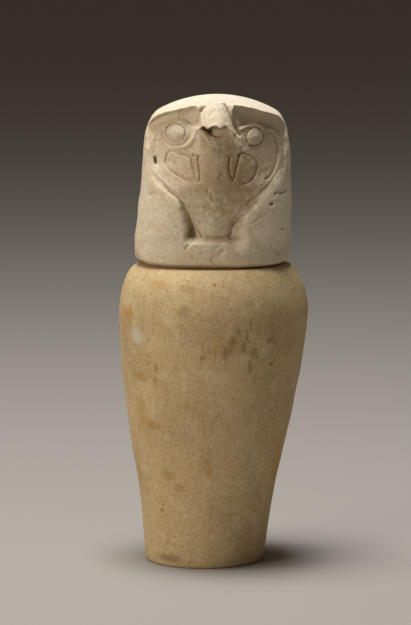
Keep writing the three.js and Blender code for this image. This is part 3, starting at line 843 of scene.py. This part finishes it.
def add_node(tree, kind, inputs=(), **settings):
    """Add a node with its settings; an input is a value or the socket to link from."""
    node = tree.nodes.new(kind)
    for name, value in settings.items():
        setattr(node, name, value)
    for name, value in dict(inputs).items():
        socket = node.inputs[name]
        if isinstance(value, bpy.types.NodeSocket):
            tree.links.new(value, socket)
        else:
            socket.default_value = value
    return node


def limestone(name, base, tones, stains_and_painted_light):
    """Fine-grained limestone, carved and rubbed smooth: matt, with cloudy tone, pits and old stains, and
    the patches of painted shade and painted highlight laid among the lid's stains.
    """
    material = bpy.data.materials.new(name)
    material.use_nodes = True
    tree = material.node_tree
    shader = tree.nodes["Principled BSDF"]
    where = add_node(tree, "ShaderNodeTexCoord").outputs["Object"]

    def vector(operation, a, b=(0, 0, 0)):
        return add_node(tree, "ShaderNodeVectorMath", {0: a, 1: b}, operation=operation).outputs

    def maths(operation, a, b):
        return add_node(tree, "ShaderNodeMath", {0: a, 1: b}, operation=operation).outputs[0]

    def cloud(size_mm, detail=3.0, roughness=0.55, source=where):
        inputs = {"Vector": source, "Scale": 1000 / size_mm, "Detail": detail, "Roughness": roughness}
        return add_node(tree, "ShaderNodeTexNoise", inputs).outputs["Fac"]

    def window(value, low, high, to_high=1.0):
        """0 where the value is at low or past it, to_high at high or past it, and smooth between."""
        inputs = {"Value": value, "From Min": low, "From Max": high, "To Max": to_high}
        node = add_node(tree, "ShaderNodeMapRange", inputs, interpolation_type="SMOOTHSTEP")
        return node.outputs["Result"]

    def dots(apart_mm, share, strength):
        """Round spots, one in each cell that the patches of a coarser cloud let through."""
        inputs = {"Vector": where, "Scale": 1000 / apart_mm}
        away = add_node(tree, "ShaderNodeTexVoronoi", inputs).outputs["Distance"]
        spots = window(away, share, DOT_CORE * share, strength)
        return maths("MULTIPLY", spots, window(cloud(DOT_PATCHES * apart_mm), *DOT_WINDOW))

    def tint(colour, fac, other):
        """The colour, mixed with another by the factor."""
        inputs = {0: fac, 6: colour, 7: linear(other)}
        return add_node(tree, "ShaderNodeMix", inputs, data_type="RGBA").outputs[2]

    upright = vector("MULTIPLY", where, (1, 1, STREAK))[0]
    colour = (*base, 1.0)
    for tone, size_mm, detail, roughness, limits, strength, streaked in LAYERS:
        clouds = cloud(size_mm, detail, roughness, upright if streaked else where)
        colour = tint(colour, window(clouds, *limits, strength), tones[tone])
    frayed = maths("SUBTRACT", cloud(3.6, 6.0, 0.75), 0.5)
    for middle, size_mm, hex_colour, strength in stains_and_painted_light:
        place = vector("SUBTRACT", where, [at * MM for at in middle])[0]
        away = vector("LENGTH", vector("MULTIPLY", place, [1 / (s * MM) for s in size_mm])[0])["Value"]
        wobble = RAGGED * min(1.0, size_mm[0] / RAGGED_FROM_MM)
        ragged = maths("ADD", away, maths("MULTIPLY", frayed, wobble))
        stain_and_painted_light = window(ragged, *STAIN_AND_PAINTED_LIGHT_EDGE, STAIN_AND_PAINTED_LIGHT_STRENGTH * strength)
        colour = tint(colour, stain_and_painted_light, hex_colour)
    pits, grains = dots(*PITS), dots(*GRAINS)
    colour = tint(tint(colour, grains, tones["light"]), pits, tones["specks"])
    tree.links.new(colour, shader.inputs["Base Color"])
    shader.inputs["Roughness"].default_value = 0.82
    shader.inputs["Specular IOR Level"].default_value = 0.3
    shader.inputs["IOR"].default_value = 1.5

    grain = maths("ADD", maths("MULTIPLY", cloud(0.9), FINE_BUMP), cloud(4.5, 4.0))
    raised = maths("ADD", grain, maths("MULTIPLY", grains, GRAIN_BUMP))
    height = maths("SUBTRACT", raised, maths("MULTIPLY", pits, PIT_BUMP))
    inputs = {"Height": height, "Strength": BUMP_STRENGTH, "Distance": BUMP_DEPTH}
    tree.links.new(add_node(tree, "ShaderNodeBump", inputs).outputs["Normal"], shader.inputs["Normal"])
    return material


# Tones of the two stones beside their base colour
JAR_TONES = {"shade": "#a2865a", "light": "#e4d4b0", "ochre": "#bd9249", "specks": "#54401f"}
LID_TONES = {"shade": "#c3ad86", "light": "#f1e9d8", "ochre": "#cbab79", "specks": "#765b36"}

# Stains, and on the lid also patches of painted shade and painted light: middle and reach in mm, colour
# and strength
JAR_STAINS = (
    ((8, -59, 141.5), (3.5, 12, 5), "#74562f", 0.56),
    ((11.5, -59, 148), (3.2, 12, 5), "#74562f", 0.59),
    ((15.5, -58, 154.5), (2, 12, 3.5), "#7a5c34", 0.52),
    ((18.6, -57, 145), (2.2, 12, 4.5), "#74562f", 0.52),
    ((20.7, -57, 152), (1.6, 12, 5), "#7a5c34", 0.52),
    ((23.2, -56, 160), (1.1, 12, 4), "#7a5c34", 0.48),
    ((25.5, -54, 140.5), (3.2, 12, 4), "#74562f", 0.52),
    ((22.8, -53, 132), (1.7, 12, 5.5), "#74562f", 0.52),
    ((36.6, -47, 148), (4.2, 12, 3.5), "#705430", 0.45),
    ((36.3, -45, 132.6), (1.5, 12, 1.4), "#7d4a12", 0.95),
    ((0.4, -54.6, 183.8), (1.2, 12, 1.3), "#a0661f", 0.95),
    ((-7.1, -59, 138.2), (2, 12, 1.8), "#a87c35", 0.8),
    ((21.7, -55, 172.3), (4, 12, 3.6), "#a3955a", 0.82),
    ((-54.3, -26.5, 163), (6, 16, 6), "#b88d45", 0.78),
    ((-48.4, -36, 150), (5, 14, 5.5), "#cfc9b8", 0.85),
    ((-36.3, -46, 130), (1.7, 12, 3.4), "#a9803c", 0.82),
    ((-37, -45, 122.5), (1.7, 12, 3), "#a9803c", 0.82),
    ((-46.5, -34, 123.6), (5, 14, 4), "#b08a48", 0.72),
    ((-34, -43, 183), (7, 14, 3), "#b98f48", 0.66),
    ((-17, -53, 181), (5, 14, 3.2), "#b08644", 0.62),
    ((-18.6, -57, 167.8), (3.6, 14, 4), "#8f7d5c", 0.62),
    ((-46, -33, 100), (4, 14, 14), "#b98f48", 0.62),
    ((-38, -36, 93), (5, 12, 4), "#ab8444", 0.72),
    ((-29, -39, 61), (5, 12, 4), "#a9803c", 0.62),
    ((-22, -40, 53), (4, 12, 3), "#a9803c", 0.55),
    ((-33, -34, 37), (1.5, 12, 1.5), "#a06a20", 0.8),
    ((-3, -46, 66), (3, 12, 8), "#a9803c", 0.62),
    ((20, -40, 8), (1.6, 12, 1.2), "#5c4426", 0.61),
    ((41, -15, 62), (5, 22, 26), "#bd9240", 0.72),
    ((-28, -32, 6), (9, 12, 3), "#806b4a", 0.72),
)
LID_STAINS_AND_PAINTED_LIGHT = (
    # Face: partly patina, partly painted shade where the brim and the beak keep the light above off the
    # face
    ((-2, -50, 254), (49, 20, 31), "#a98c5f", 0.65),
    # Right half of the face: partly patina, partly painted shade on the side turned from the light
    ((17, -50, 240), (24, 20, 36), "#8a6d42", 0.42),
    # Painted light: a pale patch that lightens the right lappet beyond what the lamps give it
    ((41, -30, 221), (15, 22, 17), "#f1e5cd", 0.8),
    # Painted highlight: the crown's top made paler and greyer where the light from above falls on it
    ((0, 0, 299), (62, 62, 13), "#d9d1c3", 0.5),
    ((6, -45, 211), (13, 12, 2.5), "#a98c5f", 0.7),
    ((-48, -10, 199), (2.5, 12, 2.5), "#b08a4a", 0.8),
    ((-40, -24, 250), (3, 12, 3), "#c9a566", 0.5),
    ((12, -50, 263), (3, 12, 5), "#a07a40", 0.4),
    ((-36, -36, 228), (7, 14, 5), "#dcd2bd", 0.5),
    ((-17, -44, 293), (4, 12, 3), "#c09a62", 0.6),
    # Painted shade: near-black inside the deep chip on the left cheek
    ((-37.0, -34, 259.4), (1.3, 20, 3.0), "#1d160e", 1.0),
    # Painted shade: dark inside the small chips on the right lappet
    ((39, -34, 239), (0.9, 14, 0.7), "#3a2d1e", 0.95),
    ((42, -30, 239), (1.1, 14, 0.7), "#3a2d1e", 0.9),
    ((44.8, -26, 239.5), (1.1, 14, 0.7), "#3a2d1e", 0.9),
    ((36.2, -36, 233), (1.2, 14, 1.0), "#3a2d1e", 0.95),
    ((43.4, -28, 216.5), (0.9, 14, 0.7), "#3a2d1e", 0.9),
)


class CANOPIC_OT_jar(bpy.types.Operator):
    """Turn the hollow jar ring by ring, smooth it and lean it as the real one leans"""

    bl_idname = "canopic.jar"
    bl_label = "Jar"

    def execute(self, context):
        size = jar_sizes()
        rings = jar_profile()
        deselect_all()
        radius, z = rings[0]
        bpy.ops.mesh.primitive_circle_add(
            vertices=size.sides, radius=radius, fill_type="NGON", location=(0, 0, z))
        bpy.ops.object.mode_set(mode="EDIT")
        bpy.ops.mesh.select_all(action="SELECT")
        bpy.ops.mesh.poke()
        bpy.ops.mesh.select_all(action="DESELECT")
        bpy.ops.object.mode_set(mode="OBJECT")
        select_ring(context.object.data, radius, z)
        bpy.ops.object.mode_set(mode="EDIT")
        for (old, low), (new, high) in zip(rings[:-1], rings[1:]):
            bpy.ops.mesh.extrude_edges_move(TRANSFORM_OT_translate={"value": (0, 0, high - low)})
            bpy.ops.transform.resize(value=(new / old, new / old, 1), center_override=(0, 0, high))
        bpy.ops.mesh.edge_face_add()
        bpy.ops.mesh.poke()
        bpy.ops.mesh.select_all(action="SELECT")
        bpy.ops.mesh.normals_make_consistent(inside=False)
        bpy.ops.object.mode_set(mode="OBJECT")
        smooth = context.object.modifiers.new("Smooth", "SUBSURF")
        smooth.levels = smooth.render_levels = 2
        bpy.ops.object.modifier_apply(modifier=smooth.name)
        bpy.ops.object.shade_smooth()
        mesh = context.object.data
        points = get_points(mesh)
        radial = points * (1, 1, 0)
        radial /= np.maximum(np.linalg.norm(radial, axis=1, keepdims=True), MM)
        outer = np.clip((radial * get_normals(mesh)).sum(axis=1), 0, 1)
        points += radial * (outer * (unevenness(points, JAR_WAVES) - JAR_SETBACK))[:, None]
        points[:, 0] += axis(points[:, 2])
        set_points(mesh, points)
        stone = limestone("rubbed_limestone_tan", size.stone, JAR_TONES, JAR_STAINS)
        name_piece("limestone_jar", stone, "jar")
        return {"FINISHED"}


def select_ring(mesh, radius, z):
    """Select the edges and corners on one ring, and nothing else."""
    near = 0.1 * MM
    for vertex in mesh.vertices:
        off_radius = abs(math.hypot(vertex.co.x, vertex.co.y) - radius)
        vertex.select = off_radius < near and abs(vertex.co.z - z) < near
    for edge in mesh.edges:
        edge.select = all(mesh.vertices[i].select for i in edge.vertices)
    for face in mesh.polygons:
        face.select = False


class CANOPIC_OT_lid(bpy.types.Operator):
    """Shape a ball of rings and columns into the lid and carve the falcon's head on its front"""

    bl_idname = "canopic.lid"
    bl_label = "Falcon-head lid"

    def execute(self, context):
        rings = lid_rings()
        count, columns = rings.shape[:2]
        deselect_all()
        bpy.ops.mesh.primitive_uv_sphere_add(
            segments=columns, ring_count=count + 1, radius=1.0, location=(0, 0, 0))
        mesh = context.object.data
        ball = get_points(mesh)
        row = np.rint(np.arccos(np.clip(-ball[:, 2], -1, 1)) / math.pi * (count + 1)).astype(int)
        turn = np.arctan2(ball[:, 1], ball[:, 0]) / (2 * math.pi) * columns
        column = np.rint(turn).astype(int) % columns
        size = lid_sizes()
        points = rings[np.clip(row - 1, 0, count - 1), column]
        points[row == 0] = (0, 0, -size.tenon_height)
        points[row == count + 1] = (0, 0, crown(0.0, 0.0))
        points[:, 2] += jar_sizes().height + size.gap
        points[:, 0] += axis(points[:, 2])
        set_points(mesh, points)
        bpy.ops.object.mode_set(mode="EDIT")
        bpy.ops.mesh.select_all(action="SELECT")
        bpy.ops.mesh.normals_make_consistent(inside=False)
        bpy.ops.object.mode_set(mode="OBJECT")
        bpy.ops.object.shade_smooth()
        stone = limestone("rubbed_limestone_cream", size.stone, LID_TONES, LID_STAINS_AND_PAINTED_LIGHT)
        name_piece("carved_falcon_head", stone, "falcon_head_lid")
        return {"FINISHED"}


# Light and camera: each lamp's name, place, width, power in watts and colour, and what they are aimed at;
# the camera's place, its lens in mm and how far it looks down, in degrees
LIGHTS = (
    ("top", (-0.15, -0.03, 1.9), 0.7, 37.0, "#ffffff"),
    ("side", (-1.6, -0.2, 0.6), 0.6, 3.8, "#fff3e4"),
    ("front", (-1.3, -1.2, 0.5), 0.6, 9.0, "#fff3e4"),
)
LIGHTS_AIM = (0, 0, 0.17)
WORLD_LIGHT = ("#ffe9cf", 0.085)
CAMERA_PLACE = (-5.2 * MM, -2.2, 0.4356)
CAMERA_LENS = 132.8
CAMERA_DOWN = 7.147


class CANOPIC_OT_stage(bpy.types.Operator):
    """Lay the floor, set the soft lights and stand the camera in front"""

    bl_idname = "canopic.stage"
    bl_label = "Floor, light and camera"

    def execute(self, context):
        scene = context.scene
        deselect_all()
        bpy.ops.mesh.primitive_plane_add(size=40, location=(0, 0, 0))
        floor = context.object
        floor.name = "floor"
        paint = bpy.data.materials.new("pale_floor")
        paint.use_nodes = True
        shader = paint.node_tree.nodes["Principled BSDF"]
        shader.inputs["Base Color"].default_value = linear("#a5a09a")
        shader.inputs["Roughness"].default_value = 0.9
        floor.data.materials.append(paint)

        world = bpy.data.worlds.new("studio")
        world.use_nodes = True
        background = world.node_tree.nodes["Background"]
        background.inputs["Color"].default_value = linear(WORLD_LIGHT[0])
        background.inputs["Strength"].default_value = WORLD_LIGHT[1]
        scene.world = world
        scene.view_settings.view_transform = "Standard"
        for name, place, width, power, colour in LIGHTS:
            lamp = bpy.data.lights.new(name, "AREA")
            lamp.shape = "SQUARE"
            lamp.size = width
            lamp.energy = power
            lamp.color = linear(colour)[:3]
            stand = bpy.data.objects.new(name, lamp)
            scene.collection.objects.link(stand)
            stand.location = place
            aim = Vector(LIGHTS_AIM) - stand.location
            stand.rotation_euler = aim.to_track_quat("-Z", "Y").to_euler()

        lens = bpy.data.cameras.new("camera")
        lens.sensor_fit = "VERTICAL"
        lens.sensor_height = 24.0
        lens.lens = CAMERA_LENS
        lens.clip_end = 100
        camera = bpy.data.objects.new("camera", lens)
        scene.collection.objects.link(camera)
        camera.location = CAMERA_PLACE
        camera.rotation_euler = (math.radians(90 - CAMERA_DOWN), 0, 0)
        scene.camera = camera
        return {"FINISHED"}


class CANOPIC_PT_panel(bpy.types.Panel):
    """The jar's operators and sizes, in the sidebar"""

    bl_idname = "CANOPIC_PT_panel"
    bl_label = "Canopic jar"
    bl_space_type = "VIEW_3D"
    bl_region_type = "UI"
    bl_category = "Canopic jar"

    def draw(self, context):
        for operator in OPERATORS:
            self.layout.operator(operator.bl_idname)
        for group in (context.scene.canopic_jar_sizes, context.scene.canopic_lid_sizes):
            column = self.layout.column(align=True)
            for name in group.__annotations__:
                column.prop(group, name)


OPERATORS = (CANOPIC_OT_stage, CANOPIC_OT_jar, CANOPIC_OT_lid)
CLASSES = (JarSizes, LidSizes, *OPERATORS, CANOPIC_PT_panel)


def register():
    for cls in CLASSES:
        bpy.utils.register_class(cls)
    bpy.types.Scene.canopic_jar_sizes = PointerProperty(type=JarSizes)
    bpy.types.Scene.canopic_lid_sizes = PointerProperty(type=LidSizes)


def unregister():
    del bpy.types.Scene.canopic_lid_sizes
    del bpy.types.Scene.canopic_jar_sizes
    for cls in reversed(CLASSES):
        bpy.utils.unregister_class(cls)


def main():
    register()
    bpy.ops.canopic.stage()
    bpy.ops.canopic.jar()
    bpy.ops.canopic.lid()


if __name__ == "__main__":
    main()
